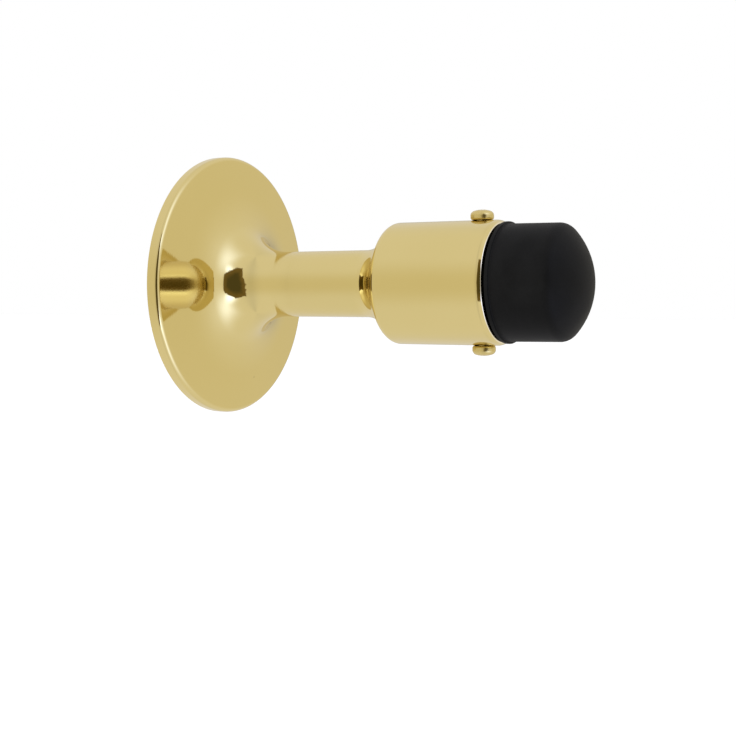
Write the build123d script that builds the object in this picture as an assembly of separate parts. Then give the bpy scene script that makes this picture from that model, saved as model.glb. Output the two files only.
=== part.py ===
from build123d import *
from math import acos, cos, degrees, radians, sin
import os

os.makedirs("parts", exist_ok=True)

# A door stop that stands out from a wall. A round base, a flared stem and a cup
# are one piece of brass. The cup holds a rubber bumper by its shank, and two
# small screws through the cup's wall keep the bumper in.
# Millimetres and degrees. The origin is the centre of the base's back face, on
# the wall. +X points out of the wall, towards the door, and +Z is up.

# The whole stop
projection = 95.25
base_diameter = 63.5
stem_diameter = 15.8
cup_diameter = 28.2

# The base, whose face rises a little from its rim
base_rim_thickness = 2.95
base_face_angle = 7.7
base_back_edge_chamfer = 0.3
base_front_edge_chamfer = 0.55

# The flare, which rises from the base's face to the stem in three arcs. An
# angle is the lean of the surface where that arc ends.
flare_diameter = 45.6
flare_foot_radius = 28.2
flare_foot_angle = 24.4
flare_knee_radius = 9.8
flare_knee_angle = 43.7

# The cup. Its back is a hollow round from the stem and a full round to the side.
cup_side_distance = 49.8
cup_mouth_distance = 75.3
cup_neck_round = 8.0
cup_back_round = 2.2
cup_mouth_chamfer = 1.45
pocket_diameter = 21.6
pocket_depth = 14.4
pocket_mouth_chamfer = 0.3

# The tapped socket in the back, bored to the size under a quarter-inch thread
socket_diameter = 5.1
socket_depth = 16.0
socket_mouth_chamfer = 0.3
socket_drill_point = 1.5

# The bumper: a shank in the cup, and a wider head with a thin lip at its back.
# The setback is how far the lip's edge stands in front of the cup's mouth.
shank_diameter = 21.4
shank_length = 12.9
shank_end_chamfer = 0.8
lip_diameter = 27.3
lip_back_diameter = 24.4
lip_setback = 0.65
lip_thickness = 0.45
head_back_diameter = 26.3
head_front_diameter = 26.1
head_front_round = 3.0
head_crown_radius = 18.0

# The two retaining screws, which stand across the cup near its mouth
screw_distance = 70.0
screw_diameter = 2.84
screw_length = 4.76
screw_tip_chamfer = 0.35
screw_head_diameter = 5.3
screw_head_side = 1.25
screw_head_height = 2.35
screw_head_crown_diameter = 4.4
screw_head_crown_rise = 0.4
screw_head_under_chamfer = 0.3
screw_hole_clearance = 0.03
recess_span = 2.7
recess_width = 0.56
recess_depth = 1.2
recess_taper = 8.0
upper_recess_turn = 60.0
lower_recess_turn = 20.0

stem_radius = stem_diameter / 2
cup_radius = cup_diameter / 2


def turned(*lines):
    """The solid that lines from axis to axis make when they turn about X."""
    closing = Line(lines[-1] @ 1, lines[0] @ 0)
    section = make_face(Curve() + [*lines, closing])
    return revolve(Plane.XZ * section, Axis.X)


def base_line():
    """The base's back, rim and sloping face, in to where the flare starts."""
    rim_radius = base_diameter / 2
    corner = Vector(base_rim_thickness, rim_radius)
    lean = radians(base_face_angle)
    inwards = Vector(sin(lean), -cos(lean))
    face_length = (rim_radius - flare_diameter / 2) / cos(lean)
    return Polyline(
        (0, 0),
        (0, rim_radius - base_back_edge_chamfer),
        (base_back_edge_chamfer, rim_radius),
        corner - Vector(base_front_edge_chamfer, 0),
        corner + inwards * base_front_edge_chamfer,
        corner + inwards * face_length,
    )


def flare_lines(start, heading):
    """The foot, the knee and the last arc, which runs out along the stem."""
    foot_turn = flare_foot_angle - base_face_angle
    foot = JernArc(start, heading, flare_foot_radius, foot_turn)
    knee_turn = flare_knee_angle - flare_foot_angle
    knee = JernArc(foot @ 1, foot % 1, flare_knee_radius, knee_turn)
    last_turn = 90 - flare_knee_angle
    last_radius = ((knee @ 1).Y - stem_radius) / (1 - cos(radians(last_turn)))
    return [foot, knee, JernArc(knee @ 1, knee % 1, last_radius, last_turn)]


def cup_lines(stem_start):
    """The stem, the cup's back, side and mouth, and in to the axis."""
    rounds = cup_neck_round + cup_back_round
    turn = degrees(acos(1 - (cup_radius - stem_radius) / rounds))
    neck_start = (cup_side_distance - rounds * sin(radians(turn)), stem_radius)
    neck = JernArc(neck_start, (1, 0), cup_neck_round, turn)
    back = JernArc(neck @ 1, neck % 1, cup_back_round, -turn)
    side_and_mouth = Polyline(
        back @ 1,
        (cup_mouth_distance - cup_mouth_chamfer, cup_radius),
        (cup_mouth_distance, cup_radius - cup_mouth_chamfer),
        (cup_mouth_distance, 0),
    )
    return [Line(stem_start, neck_start), neck, back, side_and_mouth]


def body_blank():
    """The outside of the base, flare, stem and cup, solid through."""
    base = base_line()
    flare = flare_lines(base @ 1, base % 1)
    return turned(base, *flare, *cup_lines(flare[-1] @ 1))


def cup_pocket():
    """The round pocket for the bumper's shank, with an eased mouth."""
    pocket_radius = pocket_diameter / 2
    floor = cup_mouth_distance - pocket_depth
    return turned(
        Polyline(
            (floor, 0),
            (floor, pocket_radius),
            (cup_mouth_distance - pocket_mouth_chamfer, pocket_radius),
            (cup_mouth_distance, pocket_radius + pocket_mouth_chamfer),
            (cup_mouth_distance, 0),
        )
    )


def stud_socket():
    """The blind socket in the back that a stud screws into."""
    socket_radius = socket_diameter / 2
    return turned(
        Polyline(
            (0, 0),
            (0, socket_radius + socket_mouth_chamfer),
            (socket_mouth_chamfer, socket_radius),
            (socket_depth, socket_radius),
            (socket_depth + socket_drill_point, 0),
        )
    )


def screw_places():
    """Where the upper and the lower screw's head sits down on the cup."""
    upper = Location((screw_distance, 0, cup_radius))
    lower = Location((screw_distance, 0, -cup_radius), (180, 0, 0))
    return upper, lower


def screw_bores(diameter):
    """A blind bore under each screw head, as deep as the screw's shank."""
    bore = Pos(0, 0, -screw_length / 2) * Cylinder(diameter / 2, screw_length)
    upper, lower = screw_places()
    return upper * bore + lower * bore


def stop_body():
    """The one brass piece, bored for the bumper, the stud and the screws."""
    hole_diameter = screw_diameter + 2 * screw_hole_clearance
    return body_blank() - cup_pocket() - stud_socket() - screw_bores(hole_diameter)


def bumper_section():
    """Half the bumper's section: shank, lip, head and domed front."""
    shank_radius = shank_diameter / 2
    lip_radius = lip_diameter / 2
    front_radius = head_front_diameter / 2
    shank_end = cup_mouth_distance - shank_length
    lip_back = cup_mouth_distance + lip_setback
    lip_front = lip_back + lip_thickness
    crown_centre = projection - head_crown_radius
    front_corner = crown_centre + (head_crown_radius**2 - front_radius**2) ** 0.5
    sides = Polyline(
        (shank_end, 0),
        (shank_end, shank_radius - shank_end_chamfer),
        (shank_end + shank_end_chamfer, shank_radius),
        (cup_mouth_distance, shank_radius),
        (cup_mouth_distance, lip_back_diameter / 2),
        (lip_back, lip_radius),
        (lip_front, lip_radius),
        (lip_front, head_back_diameter / 2),
        (front_corner, front_radius),
    )
    crown = RadiusArc((front_corner, front_radius), (projection, 0), head_crown_radius)
    section = make_face(sides + crown + Line((projection, 0), (shank_end, 0)))
    corner = section.vertices().sort_by_distance((front_corner, front_radius))[0]
    return fillet(corner, head_front_round)


def rubber_bumper():
    """The bumper, with the dents that the screws' tips press into its shank."""
    plain = revolve(Plane.XZ * bumper_section(), Axis.X)
    return plain - screw_bores(screw_diameter)


def screw_head():
    """A pan head that sits on z = 0, with its crown on the axis."""
    radius = screw_head_diameter / 2
    edge = screw_head_crown_diameter / 2
    rise = screw_head_crown_rise
    crown_radius = (edge**2 + rise**2) / (2 * rise)
    sides = Polyline(
        (0, 0),
        (radius - screw_head_under_chamfer, 0),
        (radius, screw_head_under_chamfer),
        (radius, screw_head_side),
        (edge, screw_head_height - rise),
    )
    crown = RadiusArc(sides @ 1, (0, screw_head_height), -crown_radius)
    section = make_face(sides + crown + Line((0, screw_head_height), (0, 0)))
    return revolve(Plane.XZ * section, Axis.Z)


def cross_recess():
    """The tapered cross that a driver fits, cut down from the crown."""
    wing = Rectangle(recess_span, recess_width)
    cross = wing + Rot(0, 0, 90) * wing
    top = Pos(0, 0, screw_head_height) * cross
    return extrude(top, amount=-recess_depth, taper=recess_taper)


def retaining_screw(recess_turn):
    """One screw, head up, with its shank down along -Z."""
    shank = Pos(0, 0, -screw_length / 2) * Cylinder(screw_diameter / 2, screw_length)
    tip_edge = shank.edges().group_by(Axis.Z)[0]
    shank = chamfer(tip_edge, screw_tip_chamfer)
    return screw_head() + shank - Rot(0, 0, recess_turn) * cross_recess()


def save(node, shape):
    """Writes one node, and says what it is made of."""
    print(node, "solids", len(shape.solids()), "volume", round(shape.volume, 1))
    export_step(shape, f"parts/{node}.step")


upper_place, lower_place = screw_places()
save("stop_body", stop_body())
save("rubber_bumper", rubber_bumper())
save("upper_screw", upper_place * retaining_screw(upper_recess_turn))
save("lower_screw", lower_place * retaining_screw(lower_recess_turn))
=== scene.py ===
# %% [markdown]
# # A brass wall stop with a rubber bumper
#
# This lesson dresses a door stop in Blender. The engineering model is loaded
# first and never moves: it says where each piece is and how large it is. Every
# piece is then modelled again with a finer, smoother skin, because polished
# brass is a mirror and shows each facet of a coarse mesh.

# %% Load the engineering model
import math

import bpy
from mathutils import Matrix, Vector


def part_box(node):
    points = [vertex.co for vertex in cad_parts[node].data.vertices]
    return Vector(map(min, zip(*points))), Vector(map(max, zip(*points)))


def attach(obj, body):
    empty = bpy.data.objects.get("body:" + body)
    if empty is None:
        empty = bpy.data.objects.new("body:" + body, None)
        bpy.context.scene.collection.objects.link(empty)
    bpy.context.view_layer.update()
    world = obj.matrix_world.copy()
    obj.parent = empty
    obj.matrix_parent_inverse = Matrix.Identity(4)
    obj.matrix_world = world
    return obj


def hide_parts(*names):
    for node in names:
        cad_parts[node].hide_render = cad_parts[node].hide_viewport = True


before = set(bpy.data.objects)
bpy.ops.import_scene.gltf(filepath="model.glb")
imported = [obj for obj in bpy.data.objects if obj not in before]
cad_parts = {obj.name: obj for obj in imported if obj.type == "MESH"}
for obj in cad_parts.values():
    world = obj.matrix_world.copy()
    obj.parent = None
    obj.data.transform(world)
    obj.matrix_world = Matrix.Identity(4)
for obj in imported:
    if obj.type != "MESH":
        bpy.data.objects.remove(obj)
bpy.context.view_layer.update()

MM = 0.001
print("pieces in the frame:", sorted(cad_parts))

# %% [markdown]
# ## The driving sizes
#
# The large sizes are read from the model's own boxes, so they can't drift away
# from it. A hair is taken off each, so that rounding never puts the new skin
# outside the model. X runs out of the wall along the stem, and Z is up.

# %% Read the large sizes
HAIR = 0.002
BASE_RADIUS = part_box("stop_body")[1].z / MM - HAIR
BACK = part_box("stop_body")[0].x / MM + HAIR
CUP_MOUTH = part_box("stop_body")[1].x / MM
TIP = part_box("rubber_bumper")[1].x / MM - HAIR
SHANK_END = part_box("rubber_bumper")[0].x / MM
LIP_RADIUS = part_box("rubber_bumper")[1].z / MM - HAIR
print(f"base radius {BASE_RADIUS:.2f}, cup mouth {CUP_MOUTH:.2f}, tip {TIP:.2f} mm")

# %% [markdown]
# ## A lathe for the turned pieces
#
# The metal was turned on a lathe and the rubber was moulded round, so each
# piece is an outline that spins about the X axis. The outline is drawn as a
# pattern maker would: straights, and arcs that go on in the direction that the
# line was heading. A mirror shows every kink, and tangent arcs have none. A
# long straight is cut into short runs, so that the soft shading at the end of
# an arc stays there and doesn't bend the reflection along the whole straight.

# %% An outline that is drawn vertex by vertex
# A straight's runs are in millimetres, and an arc's steps in degrees.
RUN = 1.5
TURN_STEP = 3.0
FINE_STEP = 2.0
CROWN_STEP = 1.5


class Outline:
    """A half section along X and out along Z, in millimetres, ready to spin."""

    def __init__(self, name, x, r):
        bpy.ops.object.select_all(action="DESELECT")
        bpy.ops.mesh.primitive_plane_add(size=MM, enter_editmode=True)
        self.piece = bpy.context.object
        self.piece.name = name
        self.piece.data.name = name
        bpy.ops.mesh.merge(type="CENTER")
        bpy.ops.transform.translate(value=(x * MM, 0, r * MM))
        self.at = Vector((x, r))
        self.way = Vector((1, 0))

    def line(self, x, r):
        """Extrudes the end vertex straight to a point, in short runs."""
        goal = Vector((x, r))
        reach = goal - self.at
        runs = max(1, round(reach.length / RUN))
        step = {"value": (reach.x * MM / runs, 0, reach.y * MM / runs)}
        for _ in range(runs):
            bpy.ops.mesh.extrude_vertices_move(TRANSFORM_OT_translate=step)
        self.at = goal
        self.way = reach.normalized()

    def bend(self, radius, turn, step=TURN_STEP):
        """Goes on in an arc from the way it was heading; a positive turn is to the left."""
        left = Vector((-self.way.y, self.way.x))
        centre = self.at + left * math.copysign(radius, turn)
        place = (centre.x * MM, 0, centre.y * MM)
        angle = math.radians(turn)
        steps = max(2, math.ceil(abs(turn) / step))
        bpy.ops.mesh.spin(steps=steps, angle=angle, center=place, axis=(0, 1, 0))
        swing = Matrix.Rotation(angle, 2)
        self.at = centre + swing @ (self.at - centre)
        self.way = swing @ self.way

    def corner(self, x, r, beyond, radius):
        """Goes to a corner and rounds it, towards the point beyond it."""
        corner = Vector((x, r))
        inward = (corner - self.at).normalized()
        onward = (Vector(beyond) - corner).normalized()
        turn = -math.degrees(inward.angle_signed(onward))
        reach = radius * math.tan(math.radians(abs(turn)) / 2)
        start = corner - inward * reach
        self.line(start.x, start.y)
        self.bend(radius, turn)

    def dome(self, tip, side, crown, radius):
        """Rounds off a side that runs along X, then domes to the axis."""
        low = side - radius
        across = math.sqrt((crown - radius) ** 2 - low**2)
        crown_turn = math.degrees(math.atan2(low, across))
        self.line(tip - crown + across, side)
        self.way = Vector((1, 0))
        self.bend(radius, crown_turn - 90)
        self.bend(crown, -crown_turn, CROWN_STEP)

    def spin(self, sides):
        """Spins the whole outline about X and closes it into one skin."""
        bpy.ops.mesh.select_all(action="SELECT")
        full = math.radians(360)
        bpy.ops.mesh.spin(steps=sides, angle=full, center=(0, 0, 0), axis=(1, 0, 0))
        bpy.ops.mesh.select_all(action="SELECT")
        bpy.ops.mesh.remove_doubles(threshold=HAIR * MM)
        bpy.ops.mesh.normals_make_consistent(inside=False)
        bpy.ops.object.mode_set(mode="OBJECT")
        return self.piece


def smooth(piece, degrees=30):
    """Shades a piece smooth, except across edges sharper than an angle."""
    bpy.ops.object.select_all(action="DESELECT")
    bpy.context.view_layer.objects.active = piece
    piece.select_set(True)
    bpy.ops.object.shade_smooth_by_angle(angle=math.radians(degrees))


# %% [markdown]
# ## The base
#
# The base, the flare, the stem and the cup are one piece of brass, turned from
# bar and polished. Its outline starts in the middle, at the bottom of the
# socket that takes the wall stud. It comes out of the back, goes round the
# rim's two soft edges, and in along the face, which rises a little from the
# rim. The same outline goes on in the next cells.

# %% Draw the socket, the back, the rim and the face
SOCKET_RADIUS = 2.55
SOCKET_DEPTH = 16.0
SOCKET_POINT = 1.5
SMALL_CHAMFER = 0.3
RIM_THICKNESS = 2.95
FACE_LEAN = 7.7
BACK_EDGE_ROUND = 0.3
FRONT_EDGE_ROUND = 1.2
FLARE_RADIUS = 22.8

lean = math.radians(FACE_LEAN)
face_rise = (BASE_RADIUS - FLARE_RADIUS) * math.tan(lean)
flare_start = (RIM_THICKNESS + face_rise, FLARE_RADIUS)

outline = Outline("brass_body", SOCKET_DEPTH + SOCKET_POINT, 0)
outline.line(SOCKET_DEPTH, SOCKET_RADIUS)
outline.line(SMALL_CHAMFER, SOCKET_RADIUS)
outline.line(BACK, SOCKET_RADIUS + SMALL_CHAMFER)
outline.corner(BACK, BASE_RADIUS, (RIM_THICKNESS, BASE_RADIUS), BACK_EDGE_ROUND)
outline.corner(RIM_THICKNESS, BASE_RADIUS, flare_start, FRONT_EDGE_ROUND)
outline.line(*flare_start)
print(f"the face rises {face_rise:.2f} mm from the rim to the flare")

# %% [markdown]
# ## The flare
#
# The flare is what the eye follows. It isn't one arc: it starts wide at the
# foot, tightens at a knee, and runs out long and flat along the stem. The
# mirrored stem in the base's face shows it, because each arc squeezes the
# reflection by its own amount. The last arc's radius isn't chosen. It is
# worked out so that the arc ends along the stem and at the stem's radius.

# %% Draw the three arcs of the flare
STEM_RADIUS = 7.9
FOOT_RADIUS = 28.2
FOOT_LEAN = 24.4
KNEE_RADIUS = 9.8
KNEE_LEAN = 43.7

outline.bend(FOOT_RADIUS, FOOT_LEAN - FACE_LEAN, FINE_STEP)
outline.bend(KNEE_RADIUS, KNEE_LEAN - FOOT_LEAN, FINE_STEP)
last_turn = 90 - KNEE_LEAN
last_radius = (outline.at.y - STEM_RADIUS) / (1 - math.cos(math.radians(last_turn)))
outline.bend(last_radius, last_turn, FINE_STEP)
flare_end = outline.at.x
print(f"the last arc has a radius of {last_radius:.2f} mm and ends at {flare_end:.2f} mm")

# %% [markdown]
# ## The cup
#
# The cup swells out of the stem in an S: a hollow round and then a full round,
# which share one slope where they meet. That slope follows from the step in
# radius and the two rounds. The polishing wheel has eased the mouth: its side
# leans in a little before the edge, which is small and round. Behind the mouth
# is the pocket that holds the bumper's shank.

# %% Draw the stem, the cup and the pocket, and spin the body
CUP_RADIUS = 14.1
CUP_SIDE = 49.8
NECK_ROUND = 8.0
CUP_BACK_ROUND = 2.2
MOUTH_EASE_LENGTH = 1.6
MOUTH_EASE_ROUND = 2.0
MOUTH_EASE_LEAN = 28.0
MOUTH_EDGE_ROUND = 0.5
POCKET_RADIUS = 10.8
POCKET_DEPTH = 14.4
BODY_SIDES = 256

rounds = NECK_ROUND + CUP_BACK_ROUND
swell = math.degrees(math.acos(1 - (CUP_RADIUS - STEM_RADIUS) / rounds))
neck_start = CUP_SIDE - rounds * math.sin(math.radians(swell))
pocket_floor = CUP_MOUTH - POCKET_DEPTH

outline.line(neck_start, STEM_RADIUS)
outline.bend(NECK_ROUND, swell, FINE_STEP)
outline.bend(CUP_BACK_ROUND, -swell)
outline.line(CUP_MOUTH - MOUTH_EASE_LENGTH, CUP_RADIUS)
outline.bend(MOUTH_EASE_ROUND, -MOUTH_EASE_LEAN)
drop = (CUP_MOUTH - outline.at.x) * math.tan(math.radians(MOUTH_EASE_LEAN))
outline.corner(CUP_MOUTH, outline.at.y - drop, (CUP_MOUTH, 0), MOUTH_EDGE_ROUND)
outline.line(CUP_MOUTH, POCKET_RADIUS + SMALL_CHAMFER)
outline.line(CUP_MOUTH - SMALL_CHAMFER, POCKET_RADIUS)
outline.line(pocket_floor, POCKET_RADIUS)
outline.line(pocket_floor, 0)
body = outline.spin(BODY_SIDES)
print(f"the neck turns {swell:.1f} degrees; the body has {len(body.data.polygons)} faces")

# %% [markdown]
# ## The thread in the socket
#
# The socket is tapped, so that the stop screws onto a stud in the wall. A tap
# cuts a V-shaped groove that climbs by one pitch in each turn. The same is done
# here: the Screw modifier carries a triangle round the axis, its two ends are
# closed, and the coil that this makes is cut out of the body. The coil starts
# outside the back, so that the groove runs out through the mouth, and it stops
# short of the bore's end, as a tap does.

# %% A cut that one piece makes in another
def cut(piece, cutter):
    """Takes a cutter's shape out of a piece, and deletes the cutter."""
    bpy.ops.object.select_all(action="DESELECT")
    bpy.context.view_layer.objects.active = piece
    piece.select_set(True)
    bpy.ops.object.modifier_add(type="BOOLEAN")
    modifier = piece.modifiers[-1]
    modifier.operation = "DIFFERENCE"
    modifier.solver = "EXACT"
    modifier.object = cutter
    bpy.ops.object.modifier_apply(modifier=modifier.name)
    bpy.data.objects.remove(cutter)


# %% Cut the thread
# The groove's foot is its wide side, and its share is that of the pitch.
THREAD_PITCH = 1.27
THREAD_TURNS = 10
THREAD_RADIUS = 3.12
THREAD_FOOT = 2.4
THREAD_FOOT_SHARE = 0.88
THREAD_START = -1.0
THREAD_STEPS = 48

half_width = THREAD_FOOT_SHARE * THREAD_PITCH / 2
coil = Outline("thread_coil", THREAD_START - half_width, THREAD_FOOT)
coil.line(THREAD_START, THREAD_RADIUS)
coil.line(THREAD_START + half_width, THREAD_FOOT)
coil.line(THREAD_START - half_width, THREAD_FOOT)
bpy.ops.mesh.select_all(action="SELECT")
bpy.ops.mesh.remove_doubles(threshold=HAIR * MM)
bpy.ops.object.mode_set(mode="OBJECT")
bpy.ops.object.modifier_add(type="SCREW")
modifier = coil.piece.modifiers[-1]
modifier.axis = "X"
modifier.steps = THREAD_STEPS
modifier.iterations = THREAD_TURNS
modifier.screw_offset = THREAD_PITCH * MM
bpy.ops.object.modifier_apply(modifier=modifier.name)
bpy.ops.object.mode_set(mode="EDIT")
bpy.ops.mesh.select_all(action="SELECT")
bpy.ops.mesh.fill_holes(sides=3)
bpy.ops.mesh.normals_make_consistent(inside=False)
bpy.ops.object.mode_set(mode="OBJECT")
cut(body, coil.piece)
print("with the thread the body has", len(body.data.polygons), "faces")

# %% [markdown]
# ## The bumper
#
# The bumper is moulded rubber. Its shank fills the pocket. A thin lip stands
# out at the back of the head, next to the cup's mouth, and the head ends in a
# shallow dome, so that a door meets it softly at any angle.

# %% Draw and spin the bumper
SHANK_RADIUS = 10.7
SHANK_CHAMFER = 0.8
LIP_BACK_RADIUS = 12.2
LIP_SETBACK = 0.65
LIP_THICKNESS = 0.8
LIP_ROUND = 0.15
LIP_FOOT_ROUND = 0.3
HEAD_BACK_RADIUS = 13.15
HEAD_FRONT_RADIUS = 13.05
HEAD_FRONT_ROUND = 3.0
CROWN_RADIUS = 18.0
BUMPER_SIDES = 192

lip_back = CUP_MOUTH + LIP_SETBACK
lip_front = lip_back + LIP_THICKNESS

outline = Outline("black_bumper", SHANK_END, 0)
outline.line(SHANK_END, SHANK_RADIUS - SHANK_CHAMFER)
outline.line(SHANK_END + SHANK_CHAMFER, SHANK_RADIUS)
outline.line(CUP_MOUTH, SHANK_RADIUS)
outline.line(CUP_MOUTH, LIP_BACK_RADIUS)
outline.corner(lip_back, LIP_RADIUS, (lip_front, LIP_RADIUS), LIP_ROUND)
outline.corner(lip_front, LIP_RADIUS, (lip_front, HEAD_BACK_RADIUS), LIP_ROUND)
outline.corner(lip_front, HEAD_BACK_RADIUS, (TIP, HEAD_BACK_RADIUS), LIP_FOOT_ROUND)
outline.dome(TIP, HEAD_FRONT_RADIUS, CROWN_RADIUS, HEAD_FRONT_ROUND)
bumper = outline.spin(BUMPER_SIDES)
print("bumper:", len(bumper.data.polygons), "faces")

# %% [markdown]
# ## The retaining screws
#
# Two small pan-head screws go through the cup's wall, one above and one below,
# and press into the shank. A screw is drawn lying along X, like everything
# else, and then stood up in its place.

# %% Where the screws stand
SCREW_PLACE = 70.0
UPPER_PLACE = Matrix.Translation((SCREW_PLACE * MM, 0, CUP_RADIUS * MM))
UPPER_PLACE = UPPER_PLACE @ Matrix.Rotation(math.radians(-90), 4, "Y")
LOWER_PLACE = Matrix.Translation((SCREW_PLACE * MM, 0, -CUP_RADIUS * MM))
LOWER_PLACE = LOWER_PLACE @ Matrix.Rotation(math.radians(90), 4, "Y")


def put(piece, place):
    """Moves a piece to its place and leaves its object at the origin."""
    bpy.ops.object.select_all(action="DESELECT")
    bpy.context.view_layer.objects.active = piece
    piece.select_set(True)
    piece.matrix_world = place
    bpy.ops.object.transform_apply(location=True, rotation=True, scale=True)


# %% Bore the cup's wall and dent the rubber where the screws go
SCREW_RADIUS = 1.42
SCREW_LENGTH = 4.76
SCREW_CLEARANCE = 0.03
BORE_ABOVE = 1.0
BORE_SIDES = 48


def screw_bore(radius):
    """A plain rod from the screw's tip to a little above the cup."""
    rod = Outline("bore", -SCREW_LENGTH, 0)
    rod.line(-SCREW_LENGTH, radius)
    rod.line(BORE_ABOVE, radius)
    rod.line(BORE_ABOVE, 0)
    return rod.spin(BORE_SIDES)


for place in (UPPER_PLACE, LOWER_PLACE):
    for pierced in (body, bumper):
        bore = screw_bore(SCREW_RADIUS + SCREW_CLEARANCE)
        put(bore, place)
        cut(pierced, bore)
print("after the bores:", len(body.data.polygons), len(bumper.data.polygons), "faces")

# %% [markdown]
# ## The screw and its cross recess
#
# A pan head is round underneath, upright at its side, and flat-domed on top.
# The cross for the driver is cut with two bars, one across the other. Each bar
# starts as a cube, and its lower face is drawn in so that the bar tapers, as a
# driver's tip does.

# %% Model the screw
SCREW_TIP_CHAMFER = 0.35
SCREW_HEAD_RADIUS = 2.65 - HAIR
SCREW_HEAD_HEIGHT = 2.35 - HAIR
SCREW_UNDER_ROUND = 0.6
SCREW_TOP_ROUND = 1.15
SCREW_CROWN_RADIUS = 6.25
RECESS_SPAN = 2.7
RECESS_WIDTH = 0.56
RECESS_DEPTH = 1.2
RECESS_ABOVE = 0.5
RECESS_FLOOR_SHARE = 0.72
UPPER_RECESS_TURN = 60
LOWER_RECESS_TURN = 20
SCREW_SIDES = 96


def recess_wing(turn):
    """One tapered bar of the cross, lying across the head's crown."""
    bpy.ops.object.select_all(action="DESELECT")
    bpy.ops.mesh.primitive_cube_add(size=MM, enter_editmode=True)
    wing = bpy.context.object
    tall = RECESS_DEPTH + RECESS_ABOVE
    bpy.ops.transform.resize(value=(tall, RECESS_SPAN, RECESS_WIDTH))
    bpy.ops.mesh.select_all(action="DESELECT")
    bpy.ops.object.mode_set(mode="OBJECT")
    # The bar is centred, so its lower face is half its height below the middle.
    near_floor = -0.4 * tall * MM
    for face in wing.data.polygons:
        face.select = face.center.x < near_floor
    bpy.ops.object.mode_set(mode="EDIT")
    bpy.ops.mesh.select_mode(type="FACE")
    bpy.ops.transform.resize(value=(1, RECESS_FLOOR_SHARE, RECESS_FLOOR_SHARE))
    bpy.ops.mesh.select_mode(type="VERT")
    bpy.ops.object.mode_set(mode="OBJECT")
    middle = SCREW_HEAD_HEIGHT - RECESS_DEPTH + tall / 2
    place = Matrix.Translation((middle * MM, 0, 0))
    put(wing, place @ Matrix.Rotation(math.radians(turn), 4, "X"))
    return wing


def screw(name, recess_turn, place):
    """One pan-head screw, turned, recessed and stood in its place."""
    rod = Outline(name, -SCREW_LENGTH, 0)
    rod.line(-SCREW_LENGTH, SCREW_RADIUS - SCREW_TIP_CHAMFER)
    rod.line(-SCREW_LENGTH + SCREW_TIP_CHAMFER, SCREW_RADIUS)
    rod.line(0, SCREW_RADIUS)
    rod.corner(0, SCREW_HEAD_RADIUS, (1, SCREW_HEAD_RADIUS), SCREW_UNDER_ROUND)
    rod.dome(SCREW_HEAD_HEIGHT, SCREW_HEAD_RADIUS, SCREW_CROWN_RADIUS, SCREW_TOP_ROUND)
    made = rod.spin(SCREW_SIDES)
    for turn in (recess_turn, recess_turn + 90):
        cut(made, recess_wing(turn))
    put(made, place)
    return made


upper_screw = screw("upper_pan_screw", UPPER_RECESS_TURN, UPPER_PLACE)
lower_screw = screw("lower_pan_screw", LOWER_RECESS_TURN, LOWER_PLACE)
for piece in (body, bumper, upper_screw, lower_screw):
    smooth(piece)
print("screw:", len(upper_screw.data.polygons), "faces")

# %% [markdown]
# ## Writing materials as sums
#
# A material is a small calculation. Wiring it node by node hides what it says,
# so one class wraps a socket and lets it be added and multiplied, and one
# method adds any other node.

# %% A socket that can be reckoned with
class Wire:
    """One output socket of a node tree, on which sums can be written."""

    def __init__(self, nodes, socket):
        self.nodes = nodes
        self.socket = socket

    def maths(self, operation, *values):
        """A Math node on this socket and any more values."""
        sockets = dict(enumerate(values))
        return self.nodes.add("ShaderNodeMath", {"operation": operation}, sockets)

    def __add__(self, other):
        return self.maths("ADD", self, other)

    def __sub__(self, other):
        return self.maths("SUBTRACT", self, other)

    def __rsub__(self, other):
        return self.maths("SUBTRACT", other, self)

    def __mul__(self, other):
        return self.maths("MULTIPLY", self, other)

    def __truediv__(self, other):
        return self.maths("DIVIDE", self, other)

    def __abs__(self):
        return self.maths("ABSOLUTE", self)

    def least(self, other):
        return self.maths("MINIMUM", self, other)

    def most(self, other):
        return self.maths("MAXIMUM", self, other)

    __radd__ = __add__
    __rmul__ = __mul__


class Nodes:
    """A node tree that starts empty and is filled by one method."""

    def __init__(self, tree):
        self.tree = tree
        tree.nodes.clear()

    def add(self, kind, settings=None, sockets=None, output=0):
        """Adds a node: its settings first, then the values or links of its sockets."""
        node = self.tree.nodes.new(kind)
        for name, value in (settings or {}).items():
            setattr(node, name, value)
        for name, value in (sockets or {}).items():
            if isinstance(value, Wire):
                self.tree.links.new(value.socket, node.inputs[name])
            else:
                node.inputs[name].default_value = value
        return Wire(self, node.outputs[output]) if node.outputs else None

    def ramp(self, value, low, high):
        """0 below low, 1 above high, and smooth between them."""
        sockets = {"Value": value, "From Min": low, "From Max": high}
        settings = {"interpolation_type": "SMOOTHSTEP"}
        return self.add("ShaderNodeMapRange", settings, sockets)

    def blend(self, share, first, second):
        """Mixes two colours by a share."""
        settings = {"data_type": "RGBA"}
        return self.add("ShaderNodeMix", settings, {0: share, 6: first, 7: second}, 2)

    def noise(self, place, scale, detail=3.0):
        """Soft noise about 0.5 at a place."""
        sockets = {"Vector": place, "Scale": scale, "Detail": detail}
        return self.add("ShaderNodeTexNoise", None, sockets, "Fac")

    def bump(self, height, strength, depth):
        """A normal that leans as if the surface rose and fell by a depth in mm."""
        sockets = {"Height": height, "Strength": strength, "Distance": depth * MM}
        return self.add("ShaderNodeBump", None, sockets)

    def spot(self, place, centre, inner, outer):
        """1 near a point given in mm, and 0 beyond the outer distance."""
        point = [value * MM for value in centre]
        settings = {"operation": "DISTANCE"}
        gap = self.add("ShaderNodeVectorMath", settings, {0: place, 1: point}, "Value")
        return 1 - self.ramp(gap, inner * MM, outer * MM)


def new_material(name):
    """An empty material and its nodes."""
    material = bpy.data.materials.new(name)
    material.use_nodes = True
    return material, Nodes(material.node_tree)


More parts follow.
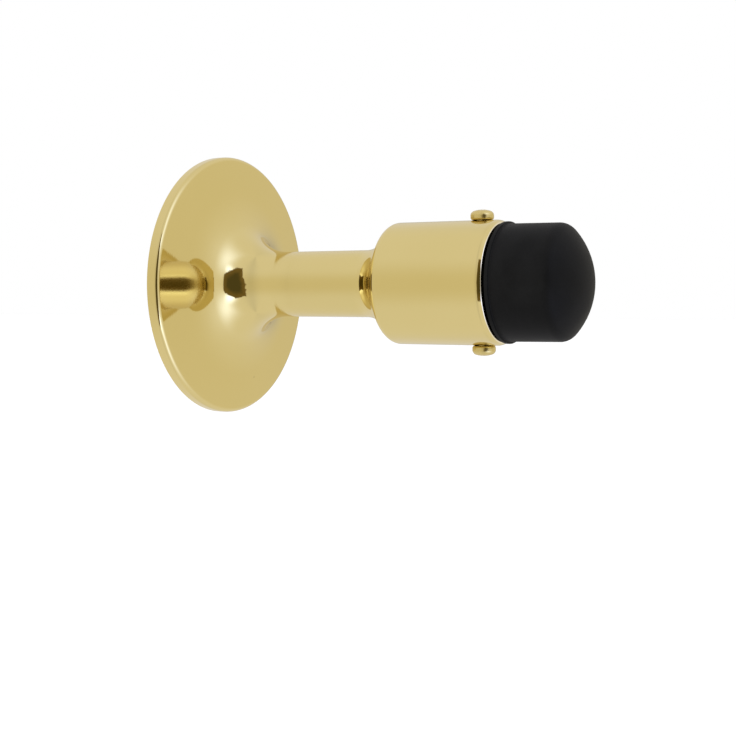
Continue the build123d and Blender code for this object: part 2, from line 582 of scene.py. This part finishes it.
def finish_material(nodes, sockets):
    """Ends a material in a Principled shader with the given sockets."""
    shader = nodes.add("ShaderNodeBsdfPrincipled", None, sockets)
    nodes.add("ShaderNodeOutputMaterial", None, {"Surface": shader})


# %% [markdown]
# ## Polished brass
#
# Brass is yellow because it takes blue out of what it reflects, so its colour
# is a metal's base colour and it has no colour of its own in the dark. Where it
# mirrors itself the light is coloured twice and goes deep gold. The polishing
# wheel leaves very fine rings about the axis, and handling leaves faint clouds.
# On the base and in the neck the rings are all but gone. Along the stem and the
# cup they are deep enough to smear a reflection sideways but not up and down,
# which is how brushed metal looks. The small round at the cup's mouth has a
# painted highlight: its colour is lightened towards pale brass, so that it shows
# as a bright line. One small pit in the base's face is kept too.

# %% Where the polish changes along the axis
# Millimetres from the wall: a stretch starts, is full, fades and ends.
STEM_RINGS = (18, 24, 40, 43)
CUP_RINGS = (48, 51, 72, 73.5)
# The painted highlight at the cup's mouth: where its colour starts to lighten and where it is
# fully lightened, in mm.
PAINTED_HIGHLIGHT_FROM = 75.0
PAINTED_HIGHLIGHT_FULLY = 75.2
RING_DEPTH = 0.018
PIT_PLACE = (3.95, 5.83, -23.65)
PIT_FLOOR = 0.1
PIT_EDGE = 0.36


def around_the_axis(nodes):
    """The place, the distance along the axis, and both in a form that makes rings."""
    place = nodes.add("ShaderNodeTexCoord", None, None, "Object")
    along = nodes.add("ShaderNodeSeparateXYZ", None, {0: place}, "X")
    flat = nodes.add("ShaderNodeVectorMath", {"operation": "MULTIPLY"}, {0: place, 1: (0, 1, 1)})
    out = nodes.add("ShaderNodeVectorMath", {"operation": "LENGTH"}, {0: flat}, "Value")
    rings = nodes.add("ShaderNodeCombineXYZ", None, {"X": along, "Y": out})
    return place, along, rings


def stretch(nodes, along, starts, full, fades, ends):
    """1 along a stretch of the axis, with soft ends; the places are in mm."""
    rise = nodes.ramp(along, starts * MM, full * MM)
    return rise * (1 - nodes.ramp(along, fades * MM, ends * MM))


# %% Brass that was turned and then polished
DEEP_BRASS = (0.69, 0.566, 0.235, 1)
CLEAR_BRASS = (0.71, 0.584, 0.255, 1)
PIT_BROWN = (0.25, 0.18, 0.06, 1)
PIT_STAIN = 0.3
# Painted highlight: the pale brass that the small round at the cup's mouth is lightened towards,
# and by how much.
PAINTED_HIGHLIGHT_BRASS = (0.92, 0.86, 0.72, 1)
PAINTED_HIGHLIGHT_SHARE = 0.6


def polished_brass():
    material, nodes = new_material("polished_brass")
    place, along, rings = around_the_axis(nodes)
    clouds = nodes.noise(place, scale=60, detail=4)
    fine_rings = nodes.noise(rings, scale=3000, detail=2)
    on_stem = stretch(nodes, along, *STEM_RINGS)
    on_cup = stretch(nodes, along, *CUP_RINGS)
    pit = nodes.spot(place, PIT_PLACE, PIT_FLOOR, PIT_EDGE)
    painted_highlight = nodes.ramp(along, PAINTED_HIGHLIGHT_FROM * MM, PAINTED_HIGHLIGHT_FULLY * MM)
    colour = nodes.blend(clouds, DEEP_BRASS, CLEAR_BRASS)
    colour = nodes.blend(pit * PIT_STAIN, colour, PIT_BROWN)
    # Painted highlight: the small round at the cup's mouth is lightened towards pale brass, so
    # that it shows as a bright line.
    colour = nodes.blend(painted_highlight * PAINTED_HIGHLIGHT_SHARE, colour, PAINTED_HIGHLIGHT_BRASS)
    roughness = 0.03 + clouds * 0.03 + on_stem * 0.14 + on_cup * 0.06 + pit * 0.2
    ring_share = 0.15 + on_stem + on_cup * 0.5
    sockets = {"Base Color": colour, "Roughness": roughness, "Metallic": 1.0}
    sockets["Normal"] = nodes.bump(fine_rings * ring_share - pit, strength=1.0, depth=RING_DEPTH)
    finish_material(nodes, sockets)
    return material


# %% Brass as the lathe left it, for the back, the socket and the pocket
MACHINED_DARK = (0.52, 0.40, 0.16, 1)
MACHINED_LIGHT = (0.66, 0.53, 0.22, 1)


def machined_brass():
    material, nodes = new_material("machined_brass")
    place, along, rings = around_the_axis(nodes)
    clouds = nodes.noise(place, scale=90, detail=5)
    grooves = nodes.noise(rings, scale=1600, detail=2)
    colour = nodes.blend(clouds, MACHINED_DARK, MACHINED_LIGHT)
    roughness = 0.30 + clouds * 0.12 + grooves * 0.1
    sockets = {"Base Color": colour, "Roughness": roughness, "Metallic": 1.0}
    sockets["Normal"] = nodes.bump(grooves, strength=0.5, depth=0.04)
    finish_material(nodes, sockets)
    return material


# %% Brass for the screws
SCREW_DARK = (0.62, 0.49, 0.18, 1)
SCREW_LIGHT = (0.72, 0.585, 0.25, 1)


def screw_brass():
    material, nodes = new_material("screw_brass")
    place = nodes.add("ShaderNodeTexCoord", None, None, "Object")
    clouds = nodes.noise(place, scale=700, detail=4)
    grain = nodes.noise(place, scale=4000, detail=2)
    colour = nodes.blend(clouds, SCREW_DARK, SCREW_LIGHT)
    roughness = 0.22 + clouds * 0.1
    sockets = {"Base Color": colour, "Roughness": roughness, "Metallic": 1.0}
    sockets["Normal"] = nodes.bump(grain, strength=0.12, depth=0.03)
    finish_material(nodes, sockets)
    return material


# %% [markdown]
# ## Black rubber
#
# Moulded rubber is nearly black and matt. It is never even: the mould leaves a
# faint grain, and a pale bloom comes out of the rubber in clouds.

# %% Moulded black rubber
RUBBER_BLACK = (0.006, 0.006, 0.006, 1)
RUBBER_BLOOM = (0.010, 0.010, 0.010, 1)


def black_rubber():
    material, nodes = new_material("black_rubber")
    place = nodes.add("ShaderNodeTexCoord", None, None, "Object")
    bloom = nodes.ramp(nodes.noise(place, scale=120, detail=5), low=0.35, high=0.75)
    grain = nodes.noise(place, scale=3500, detail=3)
    colour = nodes.blend(bloom, RUBBER_BLACK, RUBBER_BLOOM)
    roughness = 0.48 + bloom * 0.1
    sockets = {"Base Color": colour, "Roughness": roughness, "Specular IOR Level": 0.07}
    sockets["Normal"] = nodes.bump(grain, strength=0.25, depth=0.05)
    finish_material(nodes, sockets)
    return material


# %% Dress the pieces
# The socket's faces are all nearer to the wall and the axis than its limit.
BACK_DEPTH = 0.05
SOCKET_LIMIT = (20, 4)
FLOOR_MARGIN = 0.01
WALL_MARGIN = 0.1


def is_machined(face):
    """Whether a face of the body is on its back, in the socket or in the pocket."""
    along = face.center.x / MM
    out = Vector((face.center.y, face.center.z)).length / MM
    in_socket = along < SOCKET_LIMIT[0] and out < SOCKET_LIMIT[1]
    in_pocket = along > pocket_floor - FLOOR_MARGIN and out < POCKET_RADIUS + WALL_MARGIN
    return along < BACK_DEPTH or in_socket or in_pocket


body.data.materials.append(polished_brass())
body.data.materials.append(machined_brass())
machined = [face for face in body.data.polygons if is_machined(face)]
for face in machined:
    face.material_index = 1
bumper.data.materials.append(black_rubber())
screw_metal = screw_brass()
for piece in (upper_screw, lower_screw):
    piece.data.materials.append(screw_metal)
print("machined faces:", len(machined))

# %% Tie the pieces to the frame
for piece, node, slot in (
    (body, "stop_body", "polished_brass"),
    (bumper, "rubber_bumper", "black_rubber"),
    (upper_screw, "upper_screw", "screw_brass"),
    (lower_screw, "lower_screw", "screw_brass"),
):
    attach(piece, "root")
    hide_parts(node)
    print(piece.name, "stands for", node)

# %% [markdown]
# ## The studio
#
# A mirror needs something to mirror. The stop stands in a white tent, and the
# camera looks in through a dark opening at the front. Soft lamps outside the
# tent make its cloth glow cooler and brighter in places. The opening's rim is
# cloth too, so a little noise frays it. The whole tent is one sum over
# directions: how far round from the stem's own direction, and how far up, both
# in degrees. The backdrop itself is plain white.

# %% The tent's cloth
# The cloth is cooler away from level, above and below: HIGH_CLOTH is what it gains.
# A shade is how deep it is, how far round it lies and how wide it is.
CLOTH = (0.845, 0.80, 0.685)
HIGH_CLOTH = (0.085, 0.115, 0.25)
HIGH_FROM = 5
HIGH_FULLY = 45
NEAR_SHADE = (0.14, 80, 14)
FAR_SHADE = (0.06, -112, 28)
LOW_FAR_SHADE = (0.45, -108, 20)
LOW_FAR_SHADE_HEIGHT = 15


def bell(nodes, distance):
    """Falls off on both sides of zero like a bell; distance is in widths."""
    return nodes.add("ShaderNodeMath", {"operation": "EXPONENT"}, {0: distance * distance * -1})


def shade(nodes, around, depth, middle, width):
    """A soft dark stripe of the cloth, from top to bottom."""
    return bell(nodes, (around - middle) / width) * depth


def cloth_light(nodes, around, height):
    """How bright the cloth is in each direction."""
    low_far = shade(nodes, around, *LOW_FAR_SHADE) * bell(nodes, height / LOW_FAR_SHADE_HEIGHT)
    return 1 - shade(nodes, around, *NEAR_SHADE) - shade(nodes, around, *FAR_SHADE) - low_far


# %% The lamps outside the tent
# A lamp is its strength, how far round and up it is, and how wide its glow is to
# the left, to the right and upwards.
COOL = (0.75, 1.0, 2.15)
LAMPS = {
    "high": (0.66, 16, 36, 30, 15.6, 22),
    "low": (0.80, 18, -31, 30, 16, 20),
    "above the opening": (1.20, 33, 26, 8, 11, 7),
    "below the opening": (1.70, 38, -22, 11, 12, 9),
}


def lamp(nodes, around, height, strength, middle, level, left, right, tall):
    """A soft glow on the cloth, with a width of its own on each side."""
    aside = around - middle
    sideways = bell(nodes, aside.least(0) / left) * bell(nodes, aside.most(0) / right)
    return sideways * bell(nodes, (height - level) / tall) * strength


# %% The opening that the camera looks in through
# A side of the opening is the way it faces, from 0 for right to 90 for up, and
# how far it is from the middle.
OPENING = (0.093, 0.078, 0.033, 1)
OPENING_RIM = (0.19, 0.135, 0.05, 1)
OPENING_MIDDLE = (48.5, 3)
OPENING_SIDES = (
    (180, 22.7),
    (137, 25.0),
    (117, 30.9),
    (19, 21.2),
    (-4, 23.7),
    (-96, 31),
    (-135, 23.4),
)
FRAY = 0.3
FRAY_SCALE = 9


def opening_edge(nodes, way, around, height):
    """Under 1 inside the opening, 1 at its frayed edge and over 1 on the cloth."""
    aside = around - OPENING_MIDDLE[0]
    above = height - OPENING_MIDDLE[1]
    edge = aside * 0
    for turn, reach in OPENING_SIDES:
        across = math.cos(math.radians(turn)) / reach
        upward = math.sin(math.radians(turn)) / reach
        edge = edge.most(aside * across + above * upward)
    return edge + (nodes.noise(way, scale=FRAY_SCALE, detail=5) - 0.5) * FRAY


# %% Light the scene with the tent
SOFT_LIGHT = (1.2, 1.2, 1.2, 1)
BACKDROP = (1, 1, 1, 1)


def tinted(nodes, amount, colour):
    """A colour as strong as an amount."""
    vector = nodes.add("ShaderNodeCombineXYZ", None, {"X": amount, "Y": amount, "Z": amount})
    return nodes.add("ShaderNodeVectorMath", {"operation": "MULTIPLY"}, {0: vector, 1: colour})


def tent_light():
    world = bpy.data.worlds.new("white_tent")
    bpy.context.scene.world = world
    world.use_nodes = True
    nodes = Nodes(world.node_tree)
    way = nodes.add("ShaderNodeTexCoord", None, None, "Generated")
    right = nodes.add("ShaderNodeSeparateXYZ", None, {0: way}, "X")
    near = nodes.add("ShaderNodeSeparateXYZ", None, {0: way}, "Y") * -1
    up = nodes.add("ShaderNodeSeparateXYZ", None, {0: way}, "Z")
    around = near.maths("ARCTAN2", near, right) * math.degrees(1)
    height = up.maths("ARCSINE", up) * math.degrees(1)

    cloth = cloth_light(nodes, around, height)
    far_up = nodes.ramp(abs(height), HIGH_FROM, HIGH_FULLY)
    glow = nodes.add("ShaderNodeValue")
    for settings in LAMPS.values():
        glow = glow + lamp(nodes, around, height, *settings)
    light = tinted(nodes, cloth, CLOTH)
    for amount, colour in ((far_up, HIGH_CLOTH), (glow, COOL)):
        more = tinted(nodes, amount, colour)
        light = nodes.add("ShaderNodeVectorMath", {"operation": "ADD"}, {0: light, 1: more})

    edge = opening_edge(nodes, way, around, height)
    inside = nodes.blend(nodes.ramp(edge, low=0.45, high=0.9), OPENING, OPENING_RIM)
    light = nodes.blend(nodes.ramp(edge, low=0.95, high=1.05), inside, light)

    soft = nodes.add("ShaderNodeLightPath", None, None, "Is Diffuse Ray")
    light = nodes.blend(soft, light, SOFT_LIGHT)
    seen = nodes.add("ShaderNodeLightPath", None, None, "Is Camera Ray")
    light = nodes.blend(seen, light, BACKDROP)
    background = nodes.add("ShaderNodeBackground", None, {"Color": light})
    nodes.add("ShaderNodeOutputWorld", None, {"Surface": background})


tent_light()
bpy.context.scene.view_settings.view_transform = "Standard"
print("the tent's light has", len(bpy.context.scene.world.node_tree.nodes), "nodes")

# %% [markdown]
# ## The floor and the camera
#
# The floor is far below and as pale as the backdrop, so no edge shows between
# them. It is hidden from mirrors, because the tent's lower half is what the
# brass should show.

# %% The floor
FLOOR_SIZE = 12
FLOOR_LEVEL = -0.3
FLOOR_GREY = (0.93, 0.93, 0.93, 1)
FLOOR_PALE = (0.96, 0.96, 0.96, 1)

bpy.ops.object.select_all(action="DESELECT")
bpy.ops.mesh.primitive_plane_add(size=FLOOR_SIZE, location=(0, 0, FLOOR_LEVEL))
ground = bpy.context.object
ground.name = "studio_floor"
ground_material, nodes = new_material("pale_floor")
place = nodes.add("ShaderNodeTexCoord", None, None, "Object")
patches = nodes.noise(place, scale=8, detail=3)
colour = nodes.blend(patches, FLOOR_GREY, FLOOR_PALE)
finish_material(nodes, {"Base Color": colour, "Roughness": 0.8})
ground.data.materials.append(ground_material)
ground.visible_glossy = False
print("the floor is", ground.dimensions.x, "m wide")

# %% The camera
# Its place is in metres, its turn in degrees and its lens in millimetres.
CAMERA_PLACE = (0.1814, -0.25925, 0.00447)
CAMERA_TURN = (89.107, 0.876, 28.14)
CAMERA_LENS = 61.14
CAMERA_FILM = 36
CAMERA_SHIFT = (-0.0109, -0.1141)
CAMERA_NEAR = 0.01

bpy.ops.object.camera_add(location=CAMERA_PLACE)
camera = bpy.context.object
camera.name = "photo_camera"
camera.rotation_euler = [math.radians(angle) for angle in CAMERA_TURN]
camera.data.sensor_width = CAMERA_FILM
camera.data.lens = CAMERA_LENS
camera.data.shift_x = CAMERA_SHIFT[0]
camera.data.shift_y = CAMERA_SHIFT[1]
camera.data.clip_start = CAMERA_NEAR
bpy.context.scene.camera = camera
print("the camera stands", round(camera.location.length, 3), "m from the wall's centre")
